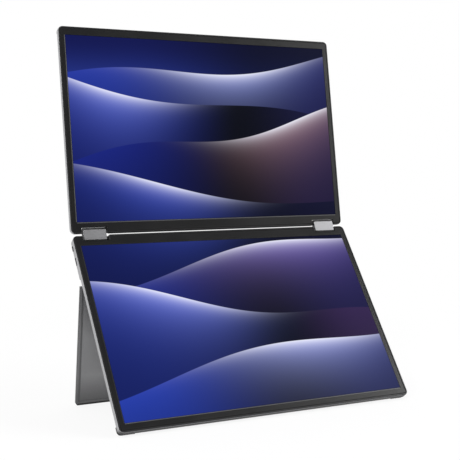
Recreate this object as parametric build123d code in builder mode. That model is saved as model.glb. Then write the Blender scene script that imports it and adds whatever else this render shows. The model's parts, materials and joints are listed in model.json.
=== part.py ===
from build123d import *
import os
from math import acos, atan2, cos, degrees, pi, radians, sin, tan

# Dual portable monitor: two screens on geared two-axis hinges, with a kickstand behind the lower one.
# Millimetres, +Z up, +Y away from the viewer, +X to the viewer's right. The table is Z = 0.
# Each screen unit has its own plane: x along the hinge, y away from the hinge edge, z out of the screen.

# Screens: lit area of a 14.0 inch 16:10 screen, and the frame round it
SCREEN_W = 301.55
SCREEN_H = 188.47
SIDE_BEZEL = 6.9
FAR_BEZEL = 8.85
HINGE_BEZEL = 11.75
PANEL_R = 5.0

# Rear covers: thicknesses, walls and edges
LOWER_T = 6.8
PACK_T = 9.6
PACK_END = 2.0
PACK_WALL = 1.6
WALL = 1.0
FLOOR = 0.8
COVER_R = 1.5
PACK_R = 2.5
RIM_CHAMFER = 0.3
RIB = 4.0
LEDGE = 4.0
STRIP_H = 45.0
POCKET_COLUMNS = 4
POCKET_ROWS = 2

# Screen module: cell, backlight, and the bezel that holds them
BEZEL_FLANGE = 0.8
BEZEL_INSET = 0.3
BEZEL_CHAMFER = 0.3
BEZEL_RIM = 1.4
BEZEL_RIM_H = 0.15
BEZEL_LIP = 0.5
BEZEL_REVEAL = 0.3
WINDOW_CHAMFER = 0.25
LCD_T = 1.1
BACKLIGHT_T = 1.6
MODULE_SIDE = 2.0
MODULE_WALL = 1.35
MODULE_GAP = 0.2
SEAT_FIT = 0.1

# Standing pose, in degrees: how far the stand is open, and how far the upper screen leans back
STAND_OPEN = 46.4
UPPER_LEAN = 10.5

# Hinge: axis places, housing, shafts and gears
CLOSED_GAP = 1.9
LOWER_AXIS_IN = 2.25
LOWER_AXIS_DEPTH = 4.0
UPPER_AXIS_IN = 2.55
UPPER_AXIS_DEPTH = 2.5
NOTCH_SIDE = 11.0
NOTCH_CLEAR = 0.35
HOUSING_W = 24.0
HOUSING_R = 3.1
HOUSING_FLAT = 0.3
HOUSING_END_GAP = 1.0
HOUSING_EDGE = 0.35
HOUSING_ROUND = 0.6
GROOVE_END = 1.5
GROOVE_W = 0.5
GROOVE_DEPTH = 0.35
EAR_T = 1.2
EAR_R = 2.5
EAR_GAP = 0.4
SLOT_FIT = 0.15
SHAFT_R = 1.6
SHAFT_END_R = 0.8
RUN_FIT = 0.05
SNUG_FIT = 0.02
BUSH_R = 2.1
BUSH_L = 12.0
GEAR_TEETH = 10
GEAR_W = 2.4
GEAR_SIDE_GAP = 0.3
GEAR_ADDENDUM = 0.8
GEAR_DEDENDUM = 1.1
GEAR_PRESSURE = 25.0
GEAR_BACKLASH = 0.05
GEAR_ROOM = 0.3
IDLER_PIN_R = 0.6
CAP_T = 0.8

# Hinge bracket leaves and their screws
LEAF_T = 0.9
LEAF_W = 28.0
LEAF_H = 20.0
BAR_T = 3.0
BOSS_R = 2.5
BOSS_H = 0.4
SCREW_R = 1.0
SCREW_HEAD_R = 1.75
SCREW_HEAD_T = 0.5
SCREW_SKIN = 0.4
SCREW_PITCH = 15.0

# Circuit boards
BOARD_T = 0.8
BOARD_CLEAR = 1.2
BOARD_STRIP_H = 17.0
BOARD_TOP = 10.0
BOARD_LEAF_GAP = 6.0
CHIP_COUNT = 3
CHIP_W = 14.0
CHIP_T = 0.9
SWITCH_W = 4.0
SWITCH_T = 2.6
SWITCH_EDGE = 1.5

# Sockets on the sides of the thick part, and the two buttons
PORT_T = 3.2
PORT_SHELL = 0.3
PORT_DEPTH = 7.3
PORT_SUNK = 0.2
USB_W = 8.94
USB_STEP = 15.0
HDMI_W = 11.2
HDMI_STEP = 12.0
TONGUE_T = 0.7
TONGUE_SHARE = 0.72
BUTTON_W = 6.0
BUTTON_H = 2.2
BUTTON_S = 11.25
BUTTON_OUT = 0.4
BUTTON_FIT = 0.15
BUTTON_FLANGE = 0.8
BUTTON_TRAVEL = 0.4

# Kickstand
STAND_L = 126.7
STAND_T = 2.7
STAND_GAP = 0.3
STAND_DROP = 2.65
STAND_TOP = 4.0
STAND_R = 4.0
STAND_RIM = 2.2
STAND_RECESS = 0.6
RUBBER_H = 2.4
KNUCKLE_SIDE = 46.5
KNUCKLE_W = 20.0
KNUCKLE_GAP = 0.4
KNUCKLE_ROOM = 6.0
STAND_PIN_R = 0.8
STAND_PIN_GRIP = 6.0

# Rubber pads: feet behind the lower corners, bumpers behind the upper ones
PAD_L = 17.0
PAD_H = 9.0
PAD_T = 3.0
PAD_EDGE = 0.8
BUMP_L = 10.0
BUMP_H = 7.0
BUMP_T = 2.0
FOOT_FLAT = 0.6

# Worked-out sizes: panels and their layers, from the screen's face to the back
PANEL_W = SCREEN_W + 2 * SIDE_BEZEL
PANEL_H = SCREEN_H + FAR_BEZEL + HINGE_BEZEL
MODULE_BACK = BEZEL_LIP + LCD_T + BACKLIGHT_T
BAR_FRONT = MODULE_BACK + SEAT_FIT
LEAF_TOP = MODULE_BACK + MODULE_GAP + SCREW_HEAD_T
LEAF_BACK = LEAF_TOP + LEAF_T
UPPER_FLOOR = LEAF_BACK + BOSS_H
UPPER_T = UPPER_FLOOR + FLOOR
PACK_FLOOR = PACK_T - FLOOR
PACK_BACK_R = min(PACK_R, PACK_T - LOWER_T - RIM_CHAMFER)

# Places on the sides, from the hinge edge: the thick part is as long as its row of sockets needs
USB_S = BUTTON_S + USB_STEP
HDMI_S = USB_S + HDMI_STEP
PACK_H = HDMI_S + HDMI_W / 2 + PACK_END
PORT_MID = PACK_FLOOR - BOARD_T - PORT_T / 2

# Places along the hinge, from the middle of the panel outwards
NOTCH_W = 2 * EAR_GAP + EAR_T + HOUSING_W + HOUSING_END_GAP
NOTCH_IN = PANEL_W / 2 - NOTCH_SIDE - NOTCH_W
NOTCH_X = NOTCH_IN + NOTCH_W / 2
EAR_IN = NOTCH_IN + EAR_GAP
EAR_OUT = EAR_IN + EAR_T
HOUSING_IN = EAR_OUT + EAR_GAP
HOUSING_OUT = HOUSING_IN + HOUSING_W
POCKET_IN = HOUSING_OUT - CAP_T - GEAR_W - 2 * GEAR_SIDE_GAP
BOARD_HALF = EAR_OUT - LEAF_W - BOARD_LEAF_GAP
KNUCKLE_X = PANEL_W / 2 - KNUCKLE_SIDE
PIN_HALF = KNUCKLE_W / 2 + KNUCKLE_GAP + STAND_PIN_GRIP

# Hinge: three steps between the four gears of a side
HOUSING_T = 2 * (HOUSING_R - HOUSING_FLAT)
AXIS_D = LOWER_AXIS_DEPTH + UPPER_AXIS_DEPTH + CLOSED_GAP
GEAR_STEP = AXIS_D / 3
PITCH_R = GEAR_STEP / 2
MODULE = 2 * PITCH_R / GEAR_TEETH
TIP_R = PITCH_R + GEAR_ADDENDUM * MODULE
ROOT_R = PITCH_R - GEAR_DEDENDUM * MODULE
HALF_TOOTH = 0.5

# With the stand open, the table meets the pads' lower edge and the front edge of the stand's foot
STAND_AXIS_S = PACK_H + STAND_DROP
STAND_AXIS_W = -(LOWER_T + STAND_GAP + STAND_T / 2)
FOOT_S = STAND_AXIS_S + STAND_L * cos(radians(STAND_OPEN)) + STAND_T / 2 * sin(radians(STAND_OPEN))
FOOT_W = STAND_AXIS_W - STAND_L * sin(radians(STAND_OPEN)) + STAND_T / 2 * cos(radians(STAND_OPEN))
PAD_S = PANEL_H - PAD_EDGE
PAD_W = -(LOWER_T + PAD_T)
LOWER_LEAN = degrees(atan2(PAD_S - FOOT_S, PAD_W - FOOT_W))
STAND_SLANT = STAND_OPEN - LOWER_LEAN
LINK_LEAN = (LOWER_LEAN + UPPER_LEAN) / 2

# Directions of a panel that leans back, and the places of the axes in the standing pose
def up_along(lean):
    return Vector(0, sin(radians(lean)), cos(radians(lean)))


def out_of(lean):
    return Vector(0, -cos(radians(lean)), sin(radians(lean)))


axis_from_lower = out_of(LOWER_LEAN) * -LOWER_AXIS_DEPTH - up_along(LOWER_LEAN) * LOWER_AXIS_IN
upper_from_axis = out_of(UPPER_LEAN) * UPPER_AXIS_DEPTH - up_along(UPPER_LEAN) * UPPER_AXIS_IN
upper_from_lower = axis_from_lower + up_along(LINK_LEAN) * AXIS_D + upper_from_axis

# The pads' lowest edge is cut flat at the table, and the origin lies below the middle of the pair
pad_corner = up_along(LOWER_LEAN) * -PAD_S + out_of(LOWER_LEAN) * PAD_W
bump_corner = up_along(UPPER_LEAN) * (PANEL_H - PAD_EDGE) + out_of(UPPER_LEAN) * -(UPPER_T + BUMP_T)
front_edge = -(PANEL_H - BEZEL_INSET - BEZEL_CHAMFER) * sin(radians(LOWER_LEAN))
back_edge = upper_from_lower.Y + bump_corner.Y
lower_origin = Vector(0, -(front_edge + back_edge) / 2, -pad_corner.Z - FOOT_FLAT)

LOWER = Plane(lower_origin, x_dir=(-1, 0, 0), z_dir=out_of(LOWER_LEAN))
UPPER = Plane(lower_origin + upper_from_lower, x_dir=(1, 0, 0), z_dir=out_of(UPPER_LEAN))
LINK = Plane(lower_origin + axis_from_lower, x_dir=(1, 0, 0), z_dir=out_of(LINK_LEAN))

# The stand's plane starts on its axis and runs down to the table
stand_axis = LOWER.from_local_coords(Vector(0, STAND_AXIS_S, STAND_AXIS_W))
STAND = Plane(stand_axis, x_dir=(1, 0, 0), z_dir=(0, cos(radians(STAND_SLANT)), sin(radians(STAND_SLANT))))

SIDES = {"left": -1, "right": 1}
TABLE = Plane.XY


def across(unit, x):
    """Plane square to the hinge at a unit's own x: x away from the hinge, y out of the screen."""
    start = unit.from_local_coords(Vector(x, 0, 0))
    return Plane(start, x_dir=unit.y_dir, z_dir=unit.x_dir)


def near_end(unit, side, inner, length):
    """Own x of a unit where a piece from inner to inner + length on the world side named begins."""
    own = side * unit.x_dir.X
    return inner if own > 0 else -inner - length


def keep(builder, name):
    """Label a finished piece and write it."""
    builder.part.label = name
    export_step(builder.part, f"parts/{name}.step")


def panel_outline(inset):
    """Rounded outline of a screen unit, inset all round, in the sketch at hand."""
    with Locations((0, PANEL_H / 2)):
        RectangleRounded(PANEL_W - 2 * inset, PANEL_H - 2 * inset, PANEL_R - inset)


def notch_depth(axis_in):
    return axis_in + HOUSING_R + NOTCH_CLEAR


def hinge_notches(axis_in, inset, mode):
    """The two notches for the hinge housings, grown by the inset."""
    with Locations((-NOTCH_X, 0), (NOTCH_X, 0)):
        Rectangle(NOTCH_W + 2 * inset, 2 * (notch_depth(axis_in) + inset), mode=mode)


def rib_pockets(start, end):
    """Pockets between the ribs of a tray, from one distance off the hinge edge to another."""
    column = (PANEL_W - 2 * (WALL + LEDGE) + RIB) / POCKET_COLUMNS
    row = (end - start + RIB) / POCKET_ROWS
    with Locations((0, (start + end) / 2)):
        with GridLocations(column, row, POCKET_COLUMNS, POCKET_ROWS):
            Rectangle(column - RIB, row - RIB)


def ear_slots(axis_in):
    """Slots through the notch floors for the bracket bars."""
    middle = (EAR_IN + EAR_OUT) / 2
    with Locations((-middle, notch_depth(axis_in) + WALL / 2), (middle, notch_depth(axis_in) + WALL / 2)):
        Rectangle(EAR_T + 2 * SLOT_FIT, WALL + 2 * LEDGE)


def screw_places(axis_in):
    """Screw positions of both bracket leaves of a unit."""
    middle = EAR_OUT - LEAF_W / 2
    y = notch_depth(axis_in) + WALL + LEAF_H / 2
    half = SCREW_PITCH / 2
    return [(side * middle + shift, y) for side in (-1, 1) for shift in (-half, half)]


def module_outline(grow):
    """Outline of the screen module, from its hinge-side margin to its far margin."""
    start = notch_depth(max(LOWER_AXIS_IN, UPPER_AXIS_IN)) + WALL + SEAT_FIT + MODULE_WALL
    height = HINGE_BEZEL + SCREEN_H + MODULE_SIDE - start
    with Locations((0, start + height / 2)):
        Rectangle(SCREEN_W + 2 * MODULE_SIDE + 2 * grow, height + 2 * grow)


def notched_outline(axis_in, inset):
    """Outline of a panel without its notches, inset all round."""
    panel_outline(inset)
    hinge_notches(axis_in, inset, Mode.SUBTRACT)


def make_bezel(unit, axis_in):
    """Black frame: a rimmed flange over the tray's edge, a skirt inside it, and a lip round the screen."""
    with BuildPart() as bezel:
        with BuildSketch(unit):
            notched_outline(axis_in, BEZEL_INSET)
        extrude(amount=-BEZEL_FLANGE)
        outward = Axis(unit.origin, unit.z_dir)
        chamfer(bezel.faces().sort_by(outward)[-1].edges(), BEZEL_CHAMFER)
        with BuildSketch(unit):
            notched_outline(axis_in, BEZEL_INSET + BEZEL_RIM)
        extrude(amount=-BEZEL_RIM_H, mode=Mode.SUBTRACT)
        with BuildSketch(unit.offset(-BEZEL_FLANGE)):
            notched_outline(axis_in, WALL + SEAT_FIT)
        extrude(amount=BEZEL_FLANGE - MODULE_BACK)
        with BuildSketch(unit):
            with Locations((0, HINGE_BEZEL + SCREEN_H / 2)):
                Rectangle(SCREEN_W + 2 * BEZEL_REVEAL, SCREEN_H + 2 * BEZEL_REVEAL)
        extrude(amount=-BEZEL_LIP, mode=Mode.SUBTRACT)
        field = bezel.faces().filter_by(outward).sort_by(outward)[-2]
        chamfer(field.inner_wires().edges(), WINDOW_CHAMFER)
        with BuildSketch(unit.offset(-BEZEL_LIP)):
            module_outline(SEAT_FIT)
        extrude(amount=BEZEL_LIP - MODULE_BACK, mode=Mode.SUBTRACT)
    return bezel


def make_layer(unit, front, thickness):
    """One flat layer of the screen module."""
    with BuildPart() as layer:
        with BuildSketch(unit.offset(-front)):
            module_outline(0)
        extrude(amount=-thickness)
    return layer


def make_bracket(unit, side, axis_in, axis_depth):
    """Hinge bracket: an ear round the shaft, a bar into the panel, and a leaf screwed to the tray."""
    start = near_end(unit, side, EAR_IN, EAR_T)
    leaf_start = near_end(unit, side, EAR_OUT - LEAF_W, LEAF_W)
    leaf_y = notch_depth(axis_in) + WALL
    bar_low = min(-axis_depth - BAR_T / 2, -LEAF_BACK)
    with BuildPart() as bracket:
        with BuildSketch(across(unit, start)):
            with Locations((axis_in, -axis_depth)):
                Circle(EAR_R)
            with Locations((axis_in, bar_low)):
                Rectangle(leaf_y + LEAF_T - axis_in, -BAR_FRONT - bar_low, align=(Align.MIN, Align.MIN))
            with Locations((axis_in, -axis_depth)):
                Circle(SHAFT_R + SNUG_FIT, mode=Mode.SUBTRACT)
        extrude(amount=EAR_T)
        with BuildSketch(unit.offset(-LEAF_TOP)):
            with Locations((leaf_start, leaf_y)):
                Rectangle(LEAF_W, LEAF_H, align=(Align.MIN, Align.MIN))
            with Locations(*screw_places(axis_in)):
                Circle(SCREW_R + SLOT_FIT, mode=Mode.SUBTRACT)
        extrude(amount=-LEAF_T)
    return bracket


def make_shaft(unit, side, axis_in, axis_depth):
    """Hinge shaft: a journal from the ear through the housing, and a reduced end for its gear."""
    journal = POCKET_IN - GEAR_SIDE_GAP - EAR_IN
    end = HOUSING_OUT - CAP_T - GEAR_SIDE_GAP - EAR_IN
    with BuildPart() as shaft:
        with BuildSketch(across(unit, near_end(unit, side, EAR_IN, journal))):
            with Locations((axis_in, -axis_depth)):
                Circle(SHAFT_R)
        extrude(amount=journal)
        with BuildSketch(across(unit, near_end(unit, side, EAR_IN + journal, end - journal))):
            with Locations((axis_in, -axis_depth)):
                Circle(SHAFT_END_R)
        extrude(amount=end - journal)
    return shaft


def tooth_half_angle(radius):
    """Half the angle that a tooth fills at a radius, along an involute flank."""
    base = PITCH_R * cos(radians(GEAR_PRESSURE))
    at_pitch = pi / (2 * GEAR_TEETH) - GEAR_BACKLASH / (2 * PITCH_R)
    flank = acos(min(1, base / radius))
    return at_pitch + tan(radians(GEAR_PRESSURE)) - radians(GEAR_PRESSURE) - tan(flank) + flank


def gear_points(phase):
    """Corners of a gear, tooth by tooth, with the first tooth turned by a phase in teeth."""
    flank = (ROOT_R, PITCH_R, TIP_R)
    corners = []
    for tooth in range(GEAR_TEETH):
        middle = 2 * pi * (tooth + phase) / GEAR_TEETH
        rising = [(radius, middle - tooth_half_angle(radius)) for radius in flank]
        falling = [(radius, middle + tooth_half_angle(radius)) for radius in reversed(flank)]
        corners += [(radius * cos(angle), radius * sin(angle)) for radius, angle in rising + falling]
    return corners


def make_gear(place, side, phase, bore):
    """Gear at a distance along the link from the lower axis, one of the four between the two shafts."""
    start = near_end(LINK, side, POCKET_IN + GEAR_SIDE_GAP, GEAR_W)
    with BuildPart() as gear:
        with BuildSketch(across(LINK, start)):
            with Locations((place, 0)):
                Polygon(*gear_points(phase), align=None)
                Circle(bore, mode=Mode.SUBTRACT)
        extrude(amount=GEAR_W)
    return gear


def make_housing(side):
    """Hinge housing: a flat-sided link, grooved near its top, with two bushed bores and a gear pocket."""
    start = near_end(LINK, side, HOUSING_IN, HOUSING_W)
    pocket = near_end(LINK, side, POCKET_IN, HOUSING_OUT - POCKET_IN)
    bush = near_end(LINK, side, HOUSING_IN, BUSH_L)
    with BuildPart() as housing:
        with BuildSketch(across(LINK, start)) as profile:
            with Locations((AXIS_D / 2, 0)):
                SlotCenterToCenter(AXIS_D, 2 * HOUSING_R)
                Rectangle(AXIS_D + 2 * HOUSING_R, HOUSING_T, mode=Mode.INTERSECT)
            fillet(profile.vertices(), HOUSING_ROUND)
        extrude(amount=HOUSING_W)
        ends = housing.faces().filter_by(Axis.X)
        chamfer(ends.edges(), HOUSING_EDGE)
        groove_at = AXIS_D + HOUSING_R - GROOVE_END - GROOVE_W / 2
        with BuildSketch(across(LINK, start)):
            with Locations((groove_at, HOUSING_T / 2), (groove_at, -HOUSING_T / 2)):
                Rectangle(GROOVE_W, 2 * GROOVE_DEPTH)
        extrude(amount=HOUSING_W, mode=Mode.SUBTRACT)
        with BuildSketch(across(LINK, start)):
            with Locations((0, 0), (AXIS_D, 0)):
                Circle(SHAFT_R + RUN_FIT)
        extrude(amount=HOUSING_W, mode=Mode.SUBTRACT)
        with BuildSketch(across(LINK, bush)):
            with Locations((0, 0), (AXIS_D, 0)):
                Circle(BUSH_R + SNUG_FIT)
        extrude(amount=BUSH_L, mode=Mode.SUBTRACT)
        with BuildSketch(across(LINK, pocket)):
            with Locations((AXIS_D / 2, 0)):
                SlotCenterToCenter(AXIS_D, 2 * (TIP_R + GEAR_ROOM))
        extrude(amount=HOUSING_OUT - POCKET_IN, mode=Mode.SUBTRACT)
        pins = near_end(LINK, side, POCKET_IN, GEAR_W + 2 * GEAR_SIDE_GAP)
        with BuildSketch(across(LINK, pins)):
            with Locations((GEAR_STEP, 0), (2 * GEAR_STEP, 0)):
                Circle(IDLER_PIN_R)
        extrude(amount=GEAR_W + 2 * GEAR_SIDE_GAP)
    return housing


def make_end_cap(side):
    """Cap that closes the gear pocket."""
    with BuildPart() as cap:
        with BuildSketch(across(LINK, near_end(LINK, side, HOUSING_OUT - CAP_T, CAP_T))):
            with Locations((AXIS_D / 2, 0)):
                SlotCenterToCenter(AXIS_D, 2 * (TIP_R + GEAR_ROOM - SNUG_FIT))
        extrude(amount=CAP_T)
    return cap


def make_bushes(side):
    """The two friction bushes of one housing."""
    with BuildPart() as bushes:
        with BuildSketch(across(LINK, near_end(LINK, side, HOUSING_IN, BUSH_L))):
            with Locations((0, 0), (AXIS_D, 0)):
                Circle(BUSH_R)
                Circle(SHAFT_R + RUN_FIT, mode=Mode.SUBTRACT)
        extrude(amount=BUSH_L)
    return bushes


def make_screws(unit, axis_in, floor):
    """Screws of both bracket leaves of one unit."""
    grip = floor + FLOOR - SCREW_SKIN - LEAF_TOP
    with BuildPart() as screws:
        with BuildSketch(unit.offset(-LEAF_TOP)):
            with Locations(*screw_places(axis_in)):
                Circle(SCREW_HEAD_R)
        extrude(amount=SCREW_HEAD_T)
        with BuildSketch(unit.offset(-LEAF_TOP)):
            with Locations(*screw_places(axis_in)):
                Circle(SCREW_R)
        extrude(amount=-grip)
    return screws


def make_pads(unit, back, length, height, thickness):
    """Rubber pads behind the two far corners of a unit, following its rounded outline."""
    with BuildPart() as pads:
        with BuildSketch(unit.offset(-back)):
            panel_outline(PAD_EDGE)
            with Locations((-PANEL_W / 2 + length / 2, PANEL_H - height / 2)):
                Rectangle(length, height, mode=Mode.INTERSECT)
        extrude(amount=-thickness)
        mirror(about=Plane.YZ)
        split(bisect_by=TABLE, keep=Keep.TOP)
    return pads


def side_plane(side, sunk):
    """Plane on a side of the lower unit, sunk from its outer face: x away from the hinge edge, z outwards."""
    own = side * LOWER.x_dir.X
    start = LOWER.from_local_coords(Vector(own * (PANEL_W / 2 - sunk), 0, 0))
    return Plane(start, x_dir=LOWER.y_dir, z_dir=(side, 0, 0))


def on_side(side, distance, depth):
    """Point on a side plane at a distance from the hinge edge and a depth behind the screen's face."""
    return (distance, side * depth)


def make_socket(side, distance, width):
    """Socket on the main board: a round-ended steel shell with a contact tongue inside."""
    middle = on_side(side, distance, PORT_MID)
    with BuildPart() as socket:
        with BuildSketch(side_plane(side, PORT_SUNK)):
            with Locations(middle):
                SlotOverall(width, PORT_T)
        extrude(amount=-PORT_DEPTH)
        with BuildSketch(side_plane(side, PORT_SUNK)):
            with Locations(middle):
                SlotOverall(width - 2 * PORT_SHELL, PORT_T - 2 * PORT_SHELL)
                Rectangle(TONGUE_SHARE * width, TONGUE_T, mode=Mode.SUBTRACT)
        extrude(amount=PORT_SHELL - PORT_DEPTH, mode=Mode.SUBTRACT)
    return socket


def make_button(side):
    """Round-ended push button with a flange behind the wall."""
    middle = on_side(side, BUTTON_S, PORT_MID)
    with BuildPart() as button:
        with BuildSketch(side_plane(side, -BUTTON_OUT)):
            with Locations(middle):
                SlotOverall(BUTTON_W, BUTTON_H)
        extrude(amount=-(BUTTON_OUT + WALL + SEAT_FIT))
        with BuildSketch(side_plane(side, WALL + SEAT_FIT)):
            with Locations(middle):
                SlotOverall(BUTTON_W + BUTTON_FLANGE, BUTTON_H + BUTTON_FLANGE)
        extrude(amount=-BUTTON_FLANGE)
        outer = button.faces().sort_by(Axis.X)[-1 if side > 0 else 0]
        chamfer(outer.edges(), BUTTON_OUT / 2)
    return button


os.makedirs("parts", exist_ok=True)

# Rear cover of the upper screen: an aluminium tray with ribs, notched for the hinges
with BuildPart() as upper_rear_cover:
    with BuildSketch(UPPER.offset(-BEZEL_FLANGE)):
        panel_outline(0)
    extrude(amount=BEZEL_FLANGE - UPPER_T)
    upper_out = Axis(UPPER.origin, UPPER.z_dir)
    fillet(upper_rear_cover.faces().sort_by(upper_out)[0].edges(), COVER_R)
    chamfer(upper_rear_cover.faces().sort_by(upper_out)[-1].edges(), RIM_CHAMFER)
    with BuildSketch(UPPER):
        hinge_notches(UPPER_AXIS_IN, 0, Mode.ADD)
    extrude(amount=-UPPER_T, mode=Mode.SUBTRACT)
    with BuildSketch(UPPER):
        notched_outline(UPPER_AXIS_IN, WALL)
    extrude(amount=-MODULE_BACK, mode=Mode.SUBTRACT)
    strip_start = notch_depth(UPPER_AXIS_IN) + WALL
    with BuildSketch(UPPER.offset(-MODULE_BACK)):
        with Locations((0, (strip_start + STRIP_H) / 2)):
            Rectangle(PANEL_W - 2 * (WALL + LEDGE), STRIP_H - strip_start)
        rib_pockets(STRIP_H + RIB, PANEL_H - WALL - LEDGE)
    extrude(amount=MODULE_BACK - UPPER_FLOOR, mode=Mode.SUBTRACT)
    with BuildSketch(UPPER.offset(-BAR_FRONT + SLOT_FIT)):
        ear_slots(UPPER_AXIS_IN)
    extrude(amount=BAR_FRONT - SLOT_FIT - UPPER_FLOOR, mode=Mode.SUBTRACT)
    with BuildSketch(UPPER.offset(-UPPER_FLOOR)):
        with Locations(*screw_places(UPPER_AXIS_IN)):
            Circle(BOSS_R)
    extrude(amount=BOSS_H)
    with BuildSketch(UPPER.offset(-LEAF_BACK)):
        with Locations(*screw_places(UPPER_AXIS_IN)):
            Circle(SCREW_R + SNUG_FIT)
    extrude(amount=LEAF_BACK + SCREW_SKIN - UPPER_T, mode=Mode.SUBTRACT)
keep(upper_rear_cover, "upper_rear_cover")

# Rear cover of the lower screen: the same tray, with a thick part near the hinges for the electronics
with BuildPart() as lower_rear_cover:
    with BuildSketch(LOWER.offset(-BEZEL_FLANGE)):
        panel_outline(0)
    extrude(amount=BEZEL_FLANGE - LOWER_T)
    lower_out = Axis(LOWER.origin, LOWER.z_dir)
    fillet(lower_rear_cover.faces().sort_by(lower_out)[0].edges(), COVER_R)
    chamfer(lower_rear_cover.faces().sort_by(lower_out)[-1].edges(), RIM_CHAMFER)
    with BuildSketch(LOWER.offset(-MODULE_BACK)):
        panel_outline(0)
        with Locations((0, PACK_H / 2)):
            Rectangle(PANEL_W, PACK_H, mode=Mode.INTERSECT)
    extrude(amount=MODULE_BACK - PACK_T)
    fillet(lower_rear_cover.faces().sort_by(lower_out)[0].edges(), PACK_BACK_R)
    with BuildSketch(LOWER):
        hinge_notches(LOWER_AXIS_IN, 0, Mode.ADD)
    extrude(amount=-PACK_T, mode=Mode.SUBTRACT)
    with BuildSketch(LOWER):
        notched_outline(LOWER_AXIS_IN, WALL)
    extrude(amount=-MODULE_BACK, mode=Mode.SUBTRACT)
    pack_start = notch_depth(LOWER_AXIS_IN) + WALL
    with BuildSketch(LOWER.offset(-MODULE_BACK)):
        panel_outline(WALL)
        with Locations((0, (pack_start + PACK_H - PACK_WALL) / 2)):
            Rectangle(PANEL_W, PACK_H - PACK_WALL - pack_start, mode=Mode.INTERSECT)
    extrude(amount=MODULE_BACK - PACK_FLOOR, mode=Mode.SUBTRACT)
    with BuildSketch(LOWER.offset(-MODULE_BACK)):
        rib_pockets(PACK_H + RIB, PANEL_H - WALL - LEDGE)
    extrude(amount=MODULE_BACK - LOWER_T + FLOOR, mode=Mode.SUBTRACT)
    with BuildSketch(LOWER.offset(-BAR_FRONT + SLOT_FIT)):
        ear_slots(LOWER_AXIS_IN)
    extrude(amount=BAR_FRONT - LOWER_AXIS_DEPTH - BAR_T / 2 - 2 * SLOT_FIT, mode=Mode.SUBTRACT)
    with BuildSketch(LOWER.offset(-PACK_FLOOR)):
        with Locations(*screw_places(LOWER_AXIS_IN)):
            Circle(BOSS_R)
    extrude(amount=PACK_FLOOR - LEAF_BACK)
    with BuildSketch(LOWER.offset(-LEAF_BACK)):
        with Locations(*screw_places(LOWER_AXIS_IN)):
            Circle(SCREW_R + SNUG_FIT)
    extrude(amount=LEAF_BACK + SCREW_SKIN - PACK_T, mode=Mode.SUBTRACT)
    for side in SIDES.values():
        with BuildSketch(side_plane(side, 0)):
            with Locations(on_side(side, USB_S, PORT_MID)):
                SlotOverall(USB_W + 2 * SEAT_FIT, PORT_T + 2 * SEAT_FIT)
            with Locations(on_side(side, BUTTON_S, PORT_MID)):
                SlotOverall(BUTTON_W + 2 * BUTTON_FIT, BUTTON_H + 2 * BUTTON_FIT)
        extrude(amount=-WALL - SEAT_FIT, mode=Mode.SUBTRACT)
    with BuildSketch(side_plane(SIDES["right"], 0)):
        with Locations(on_side(SIDES["right"], HDMI_S, PORT_MID)):
            SlotOverall(HDMI_W + 2 * SEAT_FIT, PORT_T + 2 * SEAT_FIT)
    extrude(amount=-WALL - SEAT_FIT, mode=Mode.SUBTRACT)
keep(lower_rear_cover, "lower_rear_cover")

# Bezels and screen modules of both units
for unit_name, unit, axis_in in (("lower", LOWER, LOWER_AXIS_IN), ("upper", UPPER, UPPER_AXIS_IN)):
    keep(make_bezel(unit, axis_in), f"{unit_name}_bezel")
    keep(make_layer(unit, BEZEL_LIP, LCD_T), f"{unit_name}_lcd_cell")
    keep(make_layer(unit, BEZEL_LIP + LCD_T, BACKLIGHT_T), f"{unit_name}_backlight")

# Main board in the thick part: a strip with two ends and a middle, chips, and a switch behind each button
with BuildPart() as main_board:
    strip_end = PACK_H - PACK_WALL - BOARD_CLEAR
    half_board = PANEL_W / 2 - WALL - BOARD_CLEAR
    end_w = half_board - EAR_OUT - BOARD_LEAF_GAP
    end_h = strip_end - BUTTON_S + SWITCH_W / 2 + SWITCH_EDGE
    with BuildSketch(LOWER.offset(-PACK_FLOOR)):
        with Locations((0, strip_end)):
            Rectangle(2 * half_board, BOARD_STRIP_H, align=(Align.CENTER, Align.MAX))
            Rectangle(2 * BOARD_HALF, strip_end - BOARD_TOP, align=(Align.CENTER, Align.MAX))
        with Locations((-half_board, strip_end)):
            Rectangle(end_w, end_h, align=(Align.MIN, Align.MAX))
        with Locations((half_board, strip_end)):
            Rectangle(end_w, end_h, align=(Align.MAX, Align.MAX))
    extrude(amount=BOARD_T)
    with BuildSketch(LOWER.offset(BOARD_T - PACK_FLOOR)):
        with GridLocations(2 * BOARD_HALF / CHIP_COUNT, 0, CHIP_COUNT, 1):
            with Locations((0, (BOARD_TOP + strip_end) / 2)):
                Rectangle(CHIP_W, CHIP_W)
    extrude(amount=CHIP_T)
    switch_face = WALL + SEAT_FIT + BUTTON_FLANGE + BUTTON_TRAVEL + SEAT_FIT
    switch_x = PANEL_W / 2 - switch_face - SWITCH_W / 2
    with BuildSketch(LOWER.offset(BOARD_T - PACK_FLOOR)):
        with Locations((-switch_x, BUTTON_S), (switch_x, BUTTON_S)):
            Rectangle(SWITCH_W, SWITCH_W)
    extrude(amount=SWITCH_T)
keep(main_board, "main_board")

# Driver board of the upper screen
with BuildPart() as upper_driver_board:
    with BuildSketch(UPPER.offset(-UPPER_FLOOR)):
        with Locations((0, BOARD_TOP)):
            Rectangle(2 * BOARD_HALF, BOARD_STRIP_H, align=(Align.CENTER, Align.MIN))
    extrude(amount=BOARD_T)
    with BuildSketch(UPPER.offset(BOARD_T - UPPER_FLOOR)):
        with GridLocations(2 * BOARD_HALF / CHIP_COUNT, 0, CHIP_COUNT, 1):
            with Locations((0, BOARD_TOP + BOARD_STRIP_H / 2)):
                Rectangle(CHIP_W, CHIP_W)
    extrude(amount=CHIP_T)
keep(upper_driver_board, "upper_driver_board")

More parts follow.
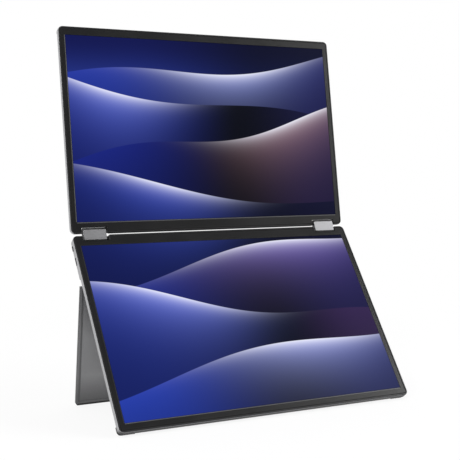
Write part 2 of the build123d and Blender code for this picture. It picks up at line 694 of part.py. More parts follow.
# Sockets and buttons on the sides of the thick part
keep(make_socket(SIDES["left"], USB_S, USB_W), "usb_c_port_left")
keep(make_socket(SIDES["right"], USB_S, USB_W), "usb_c_port_right")
keep(make_socket(SIDES["right"], HDMI_S, HDMI_W), "mini_hdmi_port")
keep(make_button(SIDES["left"]), "power_button")
keep(make_button(SIDES["right"]), "menu_button")

# Hinges: brackets and shafts on the two units, the geared link between them
for side_name, side in SIDES.items():
    keep(make_bracket(LOWER, side, LOWER_AXIS_IN, LOWER_AXIS_DEPTH), f"lower_hinge_bracket_{side_name}")
    keep(make_bracket(UPPER, side, UPPER_AXIS_IN, UPPER_AXIS_DEPTH), f"upper_hinge_bracket_{side_name}")
    keep(make_shaft(LOWER, side, LOWER_AXIS_IN, LOWER_AXIS_DEPTH), f"lower_hinge_shaft_{side_name}")
    keep(make_shaft(UPPER, side, UPPER_AXIS_IN, UPPER_AXIS_DEPTH), f"upper_hinge_shaft_{side_name}")
    keep(make_gear(0, side, 0, SHAFT_END_R + SNUG_FIT), f"lower_hinge_gear_{side_name}")
    keep(make_gear(GEAR_STEP, side, HALF_TOOTH, IDLER_PIN_R + RUN_FIT), f"lower_idler_gear_{side_name}")
    keep(make_gear(2 * GEAR_STEP, side, 0, IDLER_PIN_R + RUN_FIT), f"upper_idler_gear_{side_name}")
    keep(make_gear(AXIS_D, side, HALF_TOOTH, SHAFT_END_R + SNUG_FIT), f"upper_hinge_gear_{side_name}")
    keep(make_housing(side), f"hinge_housing_{side_name}")
    keep(make_end_cap(side), f"hinge_end_cap_{side_name}")
    keep(make_bushes(side), f"friction_bushes_{side_name}")
keep(make_screws(LOWER, LOWER_AXIS_IN, PACK_FLOOR), "lower_hinge_screws")
keep(make_screws(UPPER, UPPER_AXIS_IN, UPPER_FLOOR), "upper_hinge_screws")


def stand_outline(top, bottom):
    """The stand's outline between two distances below its axis, with its foot corners rounded."""
    with Locations((0, STAND_L)):
        RectangleRounded(PANEL_W, 2 * STAND_L, STAND_R, align=(Align.CENTER, Align.MAX))
    with Locations((0, top)):
        Rectangle(PANEL_W, bottom - top, align=(Align.CENTER, Align.MIN), mode=Mode.INTERSECT)


# Kickstand: a plate with two rolled arms, cut out round the hinge blocks, and a shallow field in its rim
with BuildPart() as stand_plate:
    with BuildSketch(STAND.offset(-STAND_T / 2)):
        stand_outline(STAND_TOP, STAND_L - RUBBER_H)
        with Locations((-KNUCKLE_X, 0), (KNUCKLE_X, 0)):
            Rectangle(2 * PIN_HALF, STAND_TOP, align=(Align.CENTER, Align.MIN))
    extrude(amount=STAND_T)
    for centre in (-KNUCKLE_X, KNUCKLE_X):
        with BuildSketch(across(STAND, centre - PIN_HALF)):
            Circle(STAND_T / 2)
        extrude(amount=2 * PIN_HALF)
    with BuildSketch(STAND.offset(-STAND_T / 2)):
        with Locations((0, KNUCKLE_ROOM + STAND_RIM)):
            field_h = STAND_L - RUBBER_H - KNUCKLE_ROOM - 2 * STAND_RIM
            Rectangle(PANEL_W - 2 * STAND_RIM, field_h, align=(Align.CENTER, Align.MIN))
    extrude(amount=STAND_RECESS, mode=Mode.SUBTRACT)
    with BuildSketch(STAND.offset(-STAND_T)):
        with Locations((-KNUCKLE_X, 0), (KNUCKLE_X, 0)):
            Rectangle(KNUCKLE_W + 2 * KNUCKLE_GAP, 2 * KNUCKLE_ROOM)
    extrude(amount=2 * STAND_T, mode=Mode.SUBTRACT)
    for centre in (-KNUCKLE_X, KNUCKLE_X):
        with BuildSketch(across(STAND, centre - PIN_HALF)):
            Circle(STAND_PIN_R + SNUG_FIT)
        extrude(amount=2 * PIN_HALF, mode=Mode.SUBTRACT)
keep(stand_plate, "stand_plate")

# Rubber strip on the stand's foot, cut flat where it stands on the table
with BuildPart() as stand_rubber_strip:
    with BuildSketch(STAND.offset(-STAND_T / 2)):
        stand_outline(STAND_L - RUBBER_H, STAND_L)
    extrude(amount=STAND_T)
    split(bisect_by=TABLE, keep=Keep.TOP)
keep(stand_rubber_strip, "stand_rubber_strip")

# Hinge blocks of the stand, fixed behind the lower screen, and the pins that the stand turns on
for side_name, side in SIDES.items():
    block_start = near_end(LOWER, side, KNUCKLE_X - KNUCKLE_W / 2, KNUCKLE_W)
    with BuildPart() as stand_hinge_block:
        with BuildSketch(across(LOWER, block_start)):
            with Locations((STAND_AXIS_S, STAND_AXIS_W)):
                Circle(STAND_T / 2)
            with Locations((PACK_H, -LOWER_T)):
                Rectangle(STAND_DROP, STAND_GAP + STAND_T, align=(Align.MIN, Align.MAX))
            with Locations((STAND_AXIS_S, STAND_AXIS_W)):
                Circle(STAND_PIN_R + RUN_FIT, mode=Mode.SUBTRACT)
        extrude(amount=KNUCKLE_W)
    keep(stand_hinge_block, f"stand_hinge_block_{side_name}")
    with BuildPart() as stand_pin:
        with BuildSketch(across(STAND, side * KNUCKLE_X - PIN_HALF)):
            Circle(STAND_PIN_R)
        extrude(amount=2 * PIN_HALF)
    keep(stand_pin, f"stand_pin_{side_name}")

# Rubber pads on the far corners of both units
keep(make_pads(LOWER, LOWER_T, PAD_L, PAD_H, PAD_T), "lower_foot_pads")
keep(make_pads(UPPER, UPPER_T, BUMP_L, BUMP_H, BUMP_T), "upper_bumpers")
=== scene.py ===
"""Looks of the dual portable monitor: camera, light, floor, the finish of every piece, and two small lips."""

import json
import math
from typing import NamedTuple

import bmesh
import bpy
from mathutils import Euler, Matrix, Vector


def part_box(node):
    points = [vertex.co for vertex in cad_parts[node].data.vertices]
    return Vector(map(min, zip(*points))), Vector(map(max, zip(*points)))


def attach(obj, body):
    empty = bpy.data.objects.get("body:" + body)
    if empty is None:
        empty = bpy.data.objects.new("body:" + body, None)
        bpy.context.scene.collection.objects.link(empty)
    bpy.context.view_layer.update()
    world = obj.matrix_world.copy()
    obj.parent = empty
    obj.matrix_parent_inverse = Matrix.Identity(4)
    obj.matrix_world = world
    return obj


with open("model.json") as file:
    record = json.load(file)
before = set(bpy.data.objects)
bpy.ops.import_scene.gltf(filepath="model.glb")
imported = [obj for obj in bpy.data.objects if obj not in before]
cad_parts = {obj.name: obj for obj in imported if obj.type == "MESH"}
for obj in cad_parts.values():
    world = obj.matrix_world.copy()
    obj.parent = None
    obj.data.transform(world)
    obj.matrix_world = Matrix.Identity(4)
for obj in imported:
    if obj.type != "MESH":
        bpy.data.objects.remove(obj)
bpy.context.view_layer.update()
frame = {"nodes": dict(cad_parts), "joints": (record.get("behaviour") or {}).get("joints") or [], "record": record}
cad = frame["nodes"]
slot_of = {piece["node"]: piece["material_slot"] for piece in frame["record"]["subparts"]}

MM = 0.001
RIGHT = Vector((1, 0, 0))


# Colours and node wiring

def srgb(code):
    """Linear colour of a six-digit sRGB code."""
    parts = [int(code[i:i + 2], 16) / 255 for i in (0, 2, 4)]
    return tuple(c / 12.92 if c <= 0.04045 else ((c + 0.055) / 1.055) ** 2.4 for c in parts)


def shade(colour, factor):
    """A linear colour, made lighter or darker."""
    return tuple(factor * c for c in colour)


class Wire:
    """A number carried by a node tree, which adds, scales and bends like a plain one."""

    def __init__(self, tree, socket):
        self.tree = tree
        self.socket = socket

    def math(self, operation, *others, clamp=False):
        node = self.tree.nodes.new("ShaderNodeMath")
        node.operation = operation
        node.use_clamp = clamp
        for socket, value in zip(node.inputs, (self, *others)):
            feed(self.tree, value, socket)
        return Wire(self.tree, node.outputs[0])

    def __add__(self, other):
        return self.math("ADD", other)

    def __sub__(self, other):
        return self.math("SUBTRACT", other)

    def __mul__(self, other):
        return self.math("MULTIPLY", other)

    def __truediv__(self, other):
        return self.math("DIVIDE", other)

    def clamped(self):
        return self.math("ADD", 0.0, clamp=True)

    def least(self, other):
        return self.math("MINIMUM", other)

    def rest(self, end=1.0):
        """What is missing to an end value."""
        return self * -1 + end

    def wave(self, turns, phase):
        """Sine of the value, in whole turns."""
        return ((self * turns + phase) * (2 * math.pi)).math("SINE")

    def fade(self, length):
        """1 where the value is 0, falling off over a length."""
        return (self / -length).math("EXPONENT")

    def hill(self, middle, reach):
        """1 at a middle value, falling off on both sides."""
        offset = (self - middle) / reach
        return (offset * offset).fade(1.0)

    def ramp(self, low, high):
        """0 below one value, 1 above the other, smooth between them."""
        node = self.tree.nodes.new("ShaderNodeMapRange")
        node.interpolation_type = "SMOOTHSTEP"
        node.inputs["From Min"].default_value = low
        node.inputs["From Max"].default_value = high
        feed(self.tree, self, node.inputs["Value"])
        return Wire(self.tree, node.outputs["Result"])

    def band(self, low, high, soft):
        """1 between two values, 0 outside them, over a soft edge."""
        return self.ramp(low - soft, low + soft) * self.ramp(high - soft, high + soft).rest()


def feed(tree, value, socket):
    """Set a socket to a number or a linear colour, or link a wire to it."""
    if isinstance(value, Wire):
        tree.links.new(value.socket, socket)
    elif isinstance(value, tuple):
        socket.default_value = (*value, 1.0)
    else:
        socket.default_value = value


def blend(tree, share, first, second):
    """Mix of two colours, each a linear colour or a wire."""
    node = tree.nodes.new("ShaderNodeMix")
    node.data_type = "RGBA"
    factor = next(s for s in node.inputs if s.enabled and s.type == "VALUE")
    ends = [s for s in node.inputs if s.enabled and s.type == "RGBA"]
    for socket, value in zip((factor, *ends), (share, first, second)):
        feed(tree, value, socket)
    return Wire(tree, next(s for s in node.outputs if s.enabled))


def new_material(name):
    """Material with one principled shader: the material, its tree and that shader."""
    material = bpy.data.materials.new(name)
    material.use_nodes = True
    return material, material.node_tree, material.node_tree.nodes["Principled BSDF"]


def position(tree):
    """Place in the rest frame, in metres, which stays with the piece as it moves."""
    return tree.nodes.new("ShaderNodeTexCoord").outputs["Object"]


def along(tree, direction, start=0.0):
    """Distance of a place from a start, along a direction."""
    node = tree.nodes.new("ShaderNodeVectorMath")
    node.operation = "DOT_PRODUCT"
    tree.links.new(position(tree), node.inputs[0])
    node.inputs[1].default_value = direction
    return Wire(tree, node.outputs["Value"]) - start


def noise(tree, grain, detail):
    """Noise around 0.5 whose grain has a size in metres."""
    scaled = tree.nodes.new("ShaderNodeVectorMath")
    scaled.operation = "MULTIPLY"
    tree.links.new(position(tree), scaled.inputs[0])
    scaled.inputs[1].default_value = [1 / grain] * 3
    node = tree.nodes.new("ShaderNodeTexNoise")
    node.inputs["Scale"].default_value = 1.0
    node.inputs["Detail"].default_value = detail
    tree.links.new(scaled.outputs[0], node.inputs["Vector"])
    return Wire(tree, node.outputs["Fac"])


def bump(tree, shader, height, depth):
    """Relief from a wire of heights between 0 and 1, of a depth in metres."""
    node = tree.nodes.new("ShaderNodeBump")
    node.inputs["Distance"].default_value = depth
    feed(tree, height, node.inputs["Height"])
    tree.links.new(node.outputs["Normal"], shader.inputs["Normal"])


OPENNESS_SAMPLES = 8


def openness(tree, reach):
    """How open a place is: 1 in the open, falling to 0 in gaps and corners within a reach in metres."""
    node = tree.nodes.new("ShaderNodeAmbientOcclusion")
    node.samples = OPENNESS_SAMPLES
    node.inputs["Distance"].default_value = reach
    return Wire(tree, node.outputs["AO"])


# Mottle of a surface: slow changes and a fine grain, which both go into its tone

SLOW_GRAIN = 30 * MM
SLOW_SHARE = 0.6
FINE_SHARE = 0.4
FINE_DETAIL = 2.0
METAL_MOTTLE = {"slow_detail": 3.0, "fine_detail": 3.0, "low": 0.3, "high": 0.7}
PLASTIC_MOTTLE = {"slow_detail": 4.0, "fine_detail": FINE_DETAIL, "low": 0.35, "high": 0.75}


def mottle(tree, grain, slow_detail, fine_detail, low, high):
    """The slow changes, the fine grain, and the mix of both for the tone."""
    slow = noise(tree, SLOW_GRAIN, slow_detail)
    fine = noise(tree, grain, fine_detail)
    return slow, fine, slow.ramp(low, high) * SLOW_SHARE + fine * FINE_SHARE


# Finishes of metal, plastic and rubber

METAL_LOW_TONE = 0.95
METAL_SLOW_GLOSS = 0.10
METAL_FINE_GLOSS = 0.06
METAL_MEAN_GLOSS = (METAL_SLOW_GLOSS + METAL_FINE_GLOSS) / 2
SHADE_REACH = 12 * MM
METAL_SHADE_RANGE = (0.3, 0.95)
METAL_PAINTED_SHADE = 0.15
PLASTIC_HIGH_TONE = 1.35
PLASTIC_GLOSS = 0.12


def metal(name, colour, roughness, grain, depth, lines=None):
    """Metal with a fine grain, slight changes of tone and gloss, painted shade in gaps and corners, and lines from
    a function.
    """
    material, tree, shader = new_material(name)
    slow, fine, tone = mottle(tree, grain, **METAL_MOTTLE)
    tone = blend(tree, tone, shade(colour, METAL_LOW_TONE), colour)
    if lines:
        tone = lines(tree, tone, colour)
    # painted shade: the colour darkens where nearby parts enclose the place, standing in for shade in gaps and
    # corners
    unshaded = openness(tree, SHADE_REACH).ramp(*METAL_SHADE_RANGE)
    feed(tree, blend(tree, unshaded, shade(colour, METAL_PAINTED_SHADE), tone), shader.inputs["Base Color"])
    gloss = slow * METAL_SLOW_GLOSS + fine * METAL_FINE_GLOSS
    feed(tree, gloss + (roughness - METAL_MEAN_GLOSS), shader.inputs["Roughness"])
    shader.inputs["Metallic"].default_value = 1.0
    bump(tree, shader, fine, depth)
    return material


def plastic(name, colour, roughness, grain, depth):
    """Moulded plastic or rubber with a fine texture, and slight wear in its gloss."""
    material, tree, shader = new_material(name)
    slow, fine, tone = mottle(tree, grain, **PLASTIC_MOTTLE)
    feed(tree, blend(tree, tone, colour, shade(colour, PLASTIC_HIGH_TONE)), shader.inputs["Base Color"])
    feed(tree, slow * PLASTIC_GLOSS + (roughness - PLASTIC_GLOSS / 2), shader.inputs["Roughness"])
    bump(tree, shader, fine, depth)
    return material


def panel_up(node):
    """Direction up along a panel's front face."""
    front = max(cad[node].data.polygons, key=lambda face: (round(face.area, 6), -face.normal.y))
    return front.normal.cross(RIGHT)


def extent(node, direction):
    """Lowest and highest place of a piece along a direction."""
    places = [vertex.co.dot(direction) for vertex in cad[node].data.vertices]
    return min(places), max(places)


LINE_SOFT = 0.1 * MM

# Hinge housing: a dark line below its upper end, painted as the shade of a groove, and a painted highlight on the
# end above it
GROOVE_TOP = 1.3 * MM
GROOVE_FOOT = 2.3 * MM
HOUSING_END_HIGHLIGHT = 1.4
HOUSING_GROOVE_SHADE = 0.06


def hinge_lines(tree, tone, colour):
    """Painted shade of a groove on the hinge housings, and a painted highlight on the end above it."""
    axes = {joint["name"]: joint for joint in frame["joints"]}
    lower, upper = (Vector(axes[name]["pos_m"]) for name in ("fold_lower", "fold_upper"))
    up = (upper - lower).normalized()
    depth = along(tree, up, extent("hinge_housing_left", up)[1]) * -1
    # painted highlight on the end of the housing above the groove line
    tone = blend(tree, depth.ramp(GROOVE_TOP, GROOVE_FOOT), shade(colour, HOUSING_END_HIGHLIGHT), tone)
    # painted shade: a dark line standing in for the shade of a groove
    groove = depth.band(GROOVE_TOP, GROOVE_FOOT, LINE_SOFT)
    return blend(tree, groove, tone, shade(colour, HOUSING_GROOVE_SHADE))


# Frame of a screen: a painted highlight on its rim, a dark line round the inside of the rim painted as the shade
# of its step, painted highlights on the lower and left edges of its window, and painted shade in gaps
FRAME_COLOUR = srgb("171718")
FRAME_TONES = (0.85, 1.15)
FRAME_GRAIN = 0.35 * MM
FRAME_RELIEF = 0.008 * MM
FRAME_ROUGHNESS = 0.28
FRAME_DULL = 0.6
FRAME_SPECULAR = 0.4
FRAME_SHADE_RANGE = (0.1, 0.6)
FRAME_PAINTED_SHADE = 0.2
RIM = 1.3 * MM
RIM_HIGHLIGHT = 1.9
GROOVE = 0.8 * MM
RIM_STEP_SHADE = 0.25
WINDOW_LINE = 1.2 * MM
WINDOW_HIGHLIGHT = srgb("58585a")
CELL_EDGE = 2.0 * MM
CELL_FOOT = 3.3 * MM


def cell_feet(hinge_below):
    """Dark edges of a screen's cell, below and above: the one beside the hinge is wider."""
    return (CELL_FOOT, CELL_EDGE) if hinge_below else (CELL_EDGE, CELL_FOOT)


def frame_finish(unit, hinge_below, left_highlight):
    """Moulded black frame of a screen, with painted highlights on its rim and window edges, painted shade in its
    rim line and gaps, and a share of the painted highlight for its window's left edge.
    """
    node, screen = unit + "_bezel", unit + "_lcd_cell"
    material, tree, shader = new_material(node)
    up = panel_up(screen)
    low, high = extent(node, up)
    left, right = extent(node, RIGHT)
    across, height = along(tree, RIGHT), along(tree, up)
    edge = (across - left).least(across.rest(right)).least((height - low).least(height.rest(high)))
    slow, fine, tone = mottle(tree, FRAME_GRAIN, **PLASTIC_MOTTLE)
    tone = blend(tree, tone, *(shade(FRAME_COLOUR, factor) for factor in FRAME_TONES))

    groove = edge.band(RIM, RIM + GROOVE, LINE_SOFT)
    # painted highlight: the rim is lighter, standing in for light caught by the raised rim
    tone = blend(tree, edge.ramp(RIM, RIM + GROOVE), shade(FRAME_COLOUR, RIM_HIGHLIGHT), tone)
    # painted shade: a dark line where the rim steps down to the field
    tone = blend(tree, groove, tone, shade(FRAME_COLOUR, RIM_STEP_SHADE))

    cell_low, cell_high = extent(screen, up)
    foot, head = cell_feet(hinge_below)
    window_left, window_low = extent(screen, RIGHT)[0] + CELL_EDGE, cell_low + foot
    # painted highlight along the left and lower edges of the window, standing in for light caught by the window's
    # inner edge
    beside = (across - window_left).band(-WINDOW_LINE, 0, LINE_SOFT)
    beside = beside * height.band(window_low, cell_high - head, LINE_SOFT) * left_highlight
    under = (height - window_low).band(-WINDOW_LINE, 0, LINE_SOFT)
    under = under * across.band(window_left, -window_left, LINE_SOFT)
    tone = blend(tree, (beside + under).clamped(), tone, WINDOW_HIGHLIGHT)

    # painted shade: the frame darkens in gaps and near other parts, standing in for shade there
    unshaded = openness(tree, SHADE_REACH).ramp(*FRAME_SHADE_RANGE)
    feed(tree, blend(tree, unshaded, shade(FRAME_COLOUR, FRAME_PAINTED_SHADE), tone), shader.inputs["Base Color"])
    dull = (unshaded * groove.rest()).rest()
    feed(tree, slow * PLASTIC_GLOSS + FRAME_ROUGHNESS + dull * FRAME_DULL, shader.inputs["Roughness"])
    shader.inputs["Specular IOR Level"].default_value = FRAME_SPECULAR
    bump(tree, shader, fine, FRAME_RELIEF)
    return material


# Kickstand: its rim is darker than the field inside it, with a painted shadow line between them, painted shade on
# its outermost edge, and painted shade towards its foot and in gaps
STAND_COLOUR = srgb("c0c0c2")
STAND_LOW_TONE = 0.92
STAND_GRAIN = 0.3 * MM
STAND_RELIEF = 0.012 * MM
STAND_ROUGHNESS = 0.5
STAND_METALLIC = 0.2
STAND_RIM = 3.2 * MM
STAND_RIM_TONE = 0.7
RIM_LINE = 1.0 * MM
RIM_LINE_SHADE = 0.35
RIM_EDGE = 0.4 * MM
RIM_EDGE_SHADE = 0.2
STAND_SHADE_REACH = 70 * MM
STAND_SHADE_RANGE = (0.4, 0.9)
STAND_PAINTED_SHADE = 0.25


def stand_finish():
    """Bead-blasted anodised plate with a darker rim round its sides and foot, a painted shadow line inside the
    rim, painted shade on its outer edge, and painted shade towards its foot and in gaps.
    """
    material, tree, shader = new_material("stand_metal")
    up = panel_up("stand_plate")
    left, right = extent("stand_plate", RIGHT)
    across = along(tree, RIGHT)
    edge = (across - left).least(across.rest(right))
    edge = edge.least(along(tree, up, extent("stand_plate", up)[0]))
    slow, fine, tone = mottle(tree, STAND_GRAIN, **METAL_MOTTLE)
    tone = blend(tree, tone, shade(STAND_COLOUR, STAND_LOW_TONE), STAND_COLOUR)
    inner = STAND_RIM + RIM_LINE
    tone = blend(tree, edge.ramp(STAND_RIM, inner), shade(STAND_COLOUR, STAND_RIM_TONE), tone)
    # painted shadow line of the step from the rim down to the recessed field
    tone = blend(tree, edge.band(STAND_RIM, inner, LINE_SOFT), tone, shade(STAND_COLOUR, RIM_LINE_SHADE))
    # painted shade on the outermost edge and side faces of the plate, which the lamps light otherwise
    tone = blend(tree, edge.ramp(0, RIM_EDGE), shade(STAND_COLOUR, RIM_EDGE_SHADE), tone)
    # painted shade: darker towards the foot near the floor and behind the lower screen, and in gaps
    unshaded = openness(tree, STAND_SHADE_REACH).ramp(*STAND_SHADE_RANGE)
    feed(tree, blend(tree, unshaded, shade(STAND_COLOUR, STAND_PAINTED_SHADE), tone), shader.inputs["Base Color"])
    feed(tree, slow * METAL_SLOW_GLOSS + STAND_ROUGHNESS, shader.inputs["Roughness"])
    shader.inputs["Metallic"].default_value = STAND_METALLIC
    bump(tree, shader, fine, STAND_RELIEF)
    return material


# Sockets
MOUTH_RIM = 0.1 * MM
MOUTH_COLOUR = srgb("3a3a3c")
MOUTH_INSIDE = srgb("060606")
SOCKET_GRAIN = 0.2 * MM
SOCKET_GLOSS = 0.1
SOCKET_ROUGHNESS = 0.35


def socket_finish(name, side):
    """Plated shell of a socket on one side, dark inside its mouth: partly its black plastic tongue, partly painted
    shade of the hollow.
    """
    material, tree, shader = new_material(name)
    low, high = (Vector(c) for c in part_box("lower_rear_cover"))
    outer = high.x if side > 0 else -low.x
    # dark inside the mouth: the black plastic tongue, and painted shade over the metal walls of the hollow
    inside = (along(tree, (side, 0, 0), outer) * -1).ramp(MOUTH_RIM, 2 * MOUTH_RIM)
    grain = noise(tree, SOCKET_GRAIN, FINE_DETAIL)
    feed(tree, blend(tree, inside, MOUTH_COLOUR, MOUTH_INSIDE), shader.inputs["Base Color"])
    feed(tree, inside.rest(), shader.inputs["Metallic"])
    feed(tree, grain * SOCKET_GLOSS + SOCKET_ROUGHNESS, shader.inputs["Roughness"])
    return material


# Picture on the screens: dunes at dusk, over both screens, from 0 to 1 across and from 0 to 2 in height

class Dune(NamedTuple):
    """A dune: its crest line, the stretch of it that is lit, and its colours at the left and the right."""
    height: float
    tilt: float
    swell: float
    turns: float
    phase: float
    lit: float
    reach: float
    haze: str
    left: str
    right: str


DUNES = (
    Dune(1.85, 0.18, 0.050, 0.9, 0.15, 0.62, 0.26, "8c98e4", "2438a0", "1c1f5c"),
    Dune(1.66, -0.26, 0.055, 0.8, 0.55, 0.14, 0.20, "6c7ee6", "1a2888", "121338"),
    Dune(1.46, 0.30, 0.045, 1.1, 0.05, 0.86, 0.24, "a07c86", "18247c", "2a2050"),
    Dune(1.17, -0.18, 0.055, 0.7, 0.30, 0.30, 0.22, "4a60d8", "16226e", "0c0e2c"),
    Dune(0.88, 0.26, 0.055, 0.9, 0.70, 0.74, 0.30, "8c7ad0", "1c2c88", "221f5a"),
    Dune(0.60, -0.28, 0.050, 1.0, 0.20, 0.24, 0.24, "7c8cf4", "1e3090", "33234e"),
    Dune(0.27, 0.22, 0.055, 0.8, 0.85, 0.70, 0.28, "a4aef8", "243ca8", "1c2460"),
)
CREST = srgb("f2f3ff")
NIGHT = srgb("040612")
SKY_TOP = srgb("101650")
SKY_LOW = srgb("2a3c98")
SKY_HEIGHT = (1.6, 2.0)
SKY_NIGHT = (0.2, 0.75)
SKY_NIGHT_SHARE = 0.8
LEFT_SAND = (0.10, 0.62)
RIGHT_SAND = (0.62, 0.95)
SAND_DEPTH = 0.35
SAND_NIGHT_SHARE = 0.7
HAZE_GLOW = 0.13
HAZE_SHARE = 0.85
CREST_GLOW = 0.026
CREST_EDGE = 0.004


def picture(tree, across, height):
    """Colour of the picture at a place."""
    colour = blend(tree, height.ramp(*SKY_HEIGHT), SKY_LOW, SKY_TOP)
    colour = blend(tree, across.ramp(*SKY_NIGHT) * SKY_NIGHT_SHARE, colour, NIGHT)
    for dune in DUNES:
        rise = across.wave(dune.turns, dune.phase) * dune.swell
        below = rise + (across - 0.5) * dune.tilt + dune.height - height
        depth = below.clamped()
        sand = blend(tree, across.ramp(*RIGHT_SAND), NIGHT, srgb(dune.right))
        sand = blend(tree, across.ramp(*LEFT_SAND), srgb(dune.left), sand)
        sand = blend(tree, depth.fade(SAND_DEPTH).rest() * SAND_NIGHT_SHARE, sand, NIGHT)
        lit = across.hill(dune.lit, dune.reach)
        sand = blend(tree, depth.fade(HAZE_GLOW) * lit * HAZE_SHARE, sand, srgb(dune.haze))
        sand = blend(tree, depth.fade(CREST_GLOW) * lit, sand, CREST)
        colour = blend(tree, below.ramp(0, CREST_EDGE), colour, sand)
    return colour


LIT_EDGE = 0.0005
SCREEN_BLACK = srgb("08080a")
SCREEN_GRAIN = 0.3 * MM
SCREEN_GLOSS = 0.06
SCREEN_ROUGHNESS = 0.25
SCREEN_SPECULAR = 0.05


def lit_screen(node, hinge_below, low_height):
    """Lit screen: its part of the picture inside the cell's dark edge, which is wider beside the hinge."""
    material, tree, shader = new_material(node)
    up = panel_up(node)
    half = extent(node, RIGHT)[1] - CELL_EDGE
    low, high = extent(node, up)
    foot, head = cell_feet(hinge_below)
    across = along(tree, RIGHT, -half) / (2 * half)
    height = along(tree, up, low + foot) / (high - head - low - foot)
    inside = across.band(0, 1, LIT_EDGE) * height.band(0, 1, LIT_EDGE)
    lit = picture(tree, across, height + low_height)
    feed(tree, blend(tree, inside, (0, 0, 0), lit), shader.inputs["Emission Color"])
    shader.inputs["Emission Strength"].default_value = 1.0
    feed(tree, SCREEN_BLACK, shader.inputs["Base Color"])
    gloss = noise(tree, SCREEN_GRAIN, FINE_DETAIL) * SCREEN_GLOSS
    feed(tree, gloss + SCREEN_ROUGHNESS, shader.inputs["Roughness"])
    shader.inputs["Specular IOR Level"].default_value = SCREEN_SPECULAR
    return material


# Finish of each material slot, with its colour, roughness, grain and depth of relief, and of single nodes
finishes = {
    "shell": metal("shell", srgb("b6b6b8"), 0.52, 0.25 * MM, 0.01 * MM),
    "light_guide": plastic("light_guide", srgb("b4b4b4"), 0.3, 1 * MM, 0.002 * MM),
    "board": plastic("board", srgb("1f5a38"), 0.4, 0.6 * MM, 0.005 * MM),
    "black_steel": plastic("black_steel", srgb("0c0c0d"), 0.45, 0.3 * MM, 0.005 * MM),
    "steel": metal("steel", srgb("b8b8ba"), 0.3, 0.2 * MM, 0.003 * MM),
    "gear_steel": metal("gear_steel", srgb("a5a5a8"), 0.4, 0.2 * MM, 0.004 * MM),
    "hinge_metal": metal("hinge_metal", srgb("9c9c9e"), 0.52, 0.2 * MM, 0.006 * MM, hinge_lines),
    "cap_plastic": plastic("cap_plastic", srgb("2a2a2c"), 0.5, 0.3 * MM, 0.006 * MM),
    "bush_bronze": metal("bush_bronze", srgb("b8935a"), 0.35, 0.3 * MM, 0.004 * MM),
    "stand_metal": stand_finish(),
    "rubber": plastic("rubber", srgb("141414"), 0.7, 0.4 * MM, 0.02 * MM),
    "button_plastic": plastic("button_plastic", srgb("1a1a1c"), 0.4, 0.3 * MM, 0.005 * MM),
}
right_socket = socket_finish("socket_steel_right", 1)
special = {
    "usb_c_port_left": socket_finish("socket_steel_left", -1),
    "usb_c_port_right": right_socket,
    "mini_hdmi_port": right_socket,
    "upper_bezel": frame_finish("upper", hinge_below=True, left_highlight=1.0),
    "lower_bezel": frame_finish("lower", hinge_below=False, left_highlight=0.2),
    "upper_lcd_cell": lit_screen("upper_lcd_cell", hinge_below=True, low_height=1.0),
    "lower_lcd_cell": lit_screen("lower_lcd_cell", hinge_below=False, low_height=0.0),
}
for name, slot_name in slot_of.items():
    for slot in cad[name].material_slots:
        slot.material = special.get(name) or finishes[slot_name]


# Lips of the two frames over the hinge edges, between the hinges, which narrow the gap between the screens
FRAME_CHAMFER = 0.3 * MM
FRAME_SEAM = 0.8 * MM
LIP_RISE = 0.45 * MM
LIP_BEVEL = 0.25 * MM
LIP_DEPTH = 3.5 * MM
LIP_TO_HOUSING = 2.9 * MM


def hinge_lip(unit, hinge_below):
    """Lip of a frame on its screen's hinge edge, from the frame's chamfer back over the cover's edge."""
    up = panel_up(unit + "_lcd_cell")
    front = RIGHT.cross(up)
    low, high = extent(unit + "_rear_cover", up)
    edge, outward = (low, -up) if hinge_below else (high, up)
    face = extent(unit + "_bezel", front)[1]
    outline = (
        (-FRAME_CHAMFER, FRAME_CHAMFER),
        (LIP_RISE - LIP_BEVEL, FRAME_CHAMFER),
        (LIP_RISE, FRAME_CHAMFER + LIP_BEVEL),
        (LIP_RISE, LIP_DEPTH),
        (0, LIP_DEPTH),
        (0, FRAME_SEAM + FRAME_CHAMFER),
        (-FRAME_CHAMFER, FRAME_SEAM),
    )
    half = -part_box("hinge_housing_left")[1][0] - LIP_TO_HOUSING
    solid = bmesh.new()
    rings = []
    for x in (-half, half):
        places = [x * RIGHT + edge * up + rise * outward + (face - depth) * front for rise, depth in outline]
        rings.append([solid.verts.new(place) for place in places])
        solid.faces.new(rings[-1])
    for left, right, next_left, next_right in zip(*rings, *(ring[1:] + ring[:1] for ring in rings)):
        solid.faces.new((left, right, next_right, next_left))
    bmesh.ops.recalc_face_normals(solid, faces=solid.faces)
    mesh = bpy.data.meshes.new(unit + "_bezel_lip")
    solid.to_mesh(mesh)
    solid.free()
    mesh.materials.append(special[unit + "_bezel"])
    lip = bpy.data.objects.new(mesh.name, mesh)
    bpy.context.scene.collection.objects.link(lip)
    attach(lip, unit + "_unit")


hinge_lip("lower", hinge_below=False)
hinge_lip("upper", hinge_below=True)


# Floor, world and lamps

def rays(tree, *kinds):
    """1 for the kinds of ray named, 0 for others."""
    path = tree.nodes.new("ShaderNodeLightPath")
    total = Wire(tree, path.outputs[kinds[0]])
    for kind in kinds[1:]:
        total = total + Wire(tree, path.outputs[kind])
    return total.clamped()


# The floor is white in the picture, with the object's shadow near it, and throws little light back
FLOOR_HALF = 6.0
FLOOR_COLOUR = srgb("f6f6f6")
FLOOR_THROWN = srgb("a0a0a0")
FLOOR_ROUGHNESS = 0.9
FLOOR_WHITE = 0.86
FLOOR_NEAR = 0.25
FLOOR_FAR = 0.7


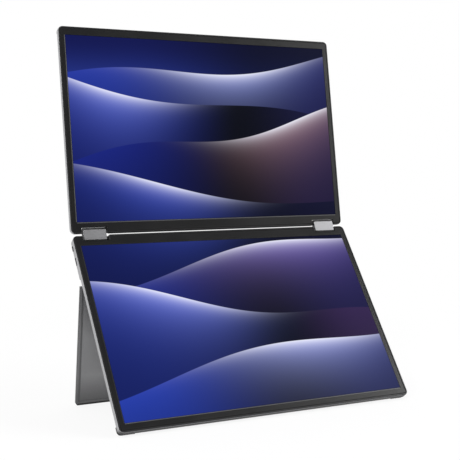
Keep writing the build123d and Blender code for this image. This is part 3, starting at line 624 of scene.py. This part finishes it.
def floor_finish():
    """Matt floor, mixed with plain white where it is seen, and wholly white away from the object."""
    material, tree, shader = new_material("floor")
    thrown = rays(tree, "Is Diffuse Ray")
    feed(tree, blend(tree, thrown, FLOOR_COLOUR, FLOOR_THROWN), shader.inputs["Base Color"])
    shader.inputs["Roughness"].default_value = FLOOR_ROUGHNESS
    shader.inputs["Specular IOR Level"].default_value = 0.0
    white = tree.nodes.new("ShaderNodeEmission")
    mix = tree.nodes.new("ShaderNodeMixShader")
    shown = rays(tree, "Is Camera Ray", "Is Glossy Ray", "Is Transmission Ray")
    distance = tree.nodes.new("ShaderNodeVectorMath")
    distance.operation = "LENGTH"
    tree.links.new(position(tree), distance.inputs[0])
    far = Wire(tree, distance.outputs["Value"]).ramp(FLOOR_NEAR, FLOOR_FAR)
    feed(tree, shown * (far * (1 - FLOOR_WHITE) + FLOOR_WHITE), mix.inputs["Fac"])
    tree.links.new(shader.outputs[0], mix.inputs[1])
    tree.links.new(white.outputs[0], mix.inputs[2])
    tree.links.new(mix.outputs[0], tree.nodes["Material Output"].inputs["Surface"])
    return material


floor_mesh = bpy.data.meshes.new("floor")
floor_corners = [(x * FLOOR_HALF, y * FLOOR_HALF, 0) for x, y in ((-1, -1), (1, -1), (1, 1), (-1, 1))]
floor_mesh.from_pydata(floor_corners, [], [(0, 1, 2, 3)])
floor_mesh.materials.append(floor_finish())
floor = bpy.data.objects.new("floor", floor_mesh)
bpy.context.scene.collection.objects.link(floor)

# The world is white where it is the background, and dim in front of the object, like a dark studio
WORLD_FRONT = 0.14
WORLD_TURN = 0.3
world = bpy.data.worlds.new("world")
bpy.context.scene.world = world
world.use_nodes = True
world_tree = world.node_tree
direction = world_tree.nodes.new("ShaderNodeSeparateXYZ")
world_tree.links.new(world_tree.nodes.new("ShaderNodeTexCoord").outputs["Generated"], direction.inputs[0])
behind = Wire(world_tree, direction.outputs["Y"]).ramp(-WORLD_TURN, WORLD_TURN)
light = behind * (1.0 - WORLD_FRONT) + WORLD_FRONT
shown = rays(world_tree, "Is Camera Ray", "Is Transmission Ray")
background = world_tree.nodes["Background"]
feed(world_tree, light + shown * light.rest(), background.inputs["Strength"])
feed(world_tree, (1.0, 1.0, 1.0), background.inputs["Color"])

# Two square soft lamps, in metres and watts
LAMP_SIZE = 1.4
LAMP_TARGET = Vector((0, 0, 0.2))
KEY_AT = Vector((-1.5, -1.2, 1.8))
KEY_POWER = 34
SIDE_AT = Vector((2.1, -1.0, 1.15))
SIDE_POWER = 48


def lamp(name, at, power):
    """Square soft lamp that faces the object."""
    data = bpy.data.lights.new(name, "AREA")
    data.size = LAMP_SIZE
    data.energy = power
    lamp_object = bpy.data.objects.new(name, data)
    lamp_object.location = at
    lamp_object.rotation_euler = (LAMP_TARGET - at).to_track_quat("-Z", "Y").to_euler()
    bpy.context.scene.collection.objects.link(lamp_object)


lamp("key", KEY_AT, KEY_POWER)
lamp("side", SIDE_AT, SIDE_POWER)

# Camera: place in metres, turns in degrees, focal length and optical axis in the 460 pixel frame
FRAME_PX = 460
CAMERA_AT = (-0.4730, -0.9249, 0.2689)
CAMERA_YAW = 28.25
CAMERA_PITCH = -5.64
CAMERA_ROLL = 0.63
FOCAL_PX = 1024.8
AXIS_PX = (255, 236)
SENSOR_MM = 36

camera_data = bpy.data.cameras.new("camera")
camera_data.sensor_width = SENSOR_MM
camera_data.lens = FOCAL_PX / FRAME_PX * SENSOR_MM
camera_data.shift_x = (FRAME_PX / 2 - AXIS_PX[0]) / FRAME_PX
camera_data.shift_y = (AXIS_PX[1] - FRAME_PX / 2) / FRAME_PX
camera = bpy.data.objects.new("camera", camera_data)
camera.location = CAMERA_AT
facing = Euler((math.radians(90 + CAMERA_PITCH), 0, math.radians(-CAMERA_YAW))).to_matrix()
camera.rotation_euler = (facing @ Matrix.Rotation(math.radians(CAMERA_ROLL), 3, "Z")).to_euler()
bpy.context.scene.collection.objects.link(camera)
bpy.context.scene.camera = camera
bpy.context.scene.view_settings.view_transform = "Standard"
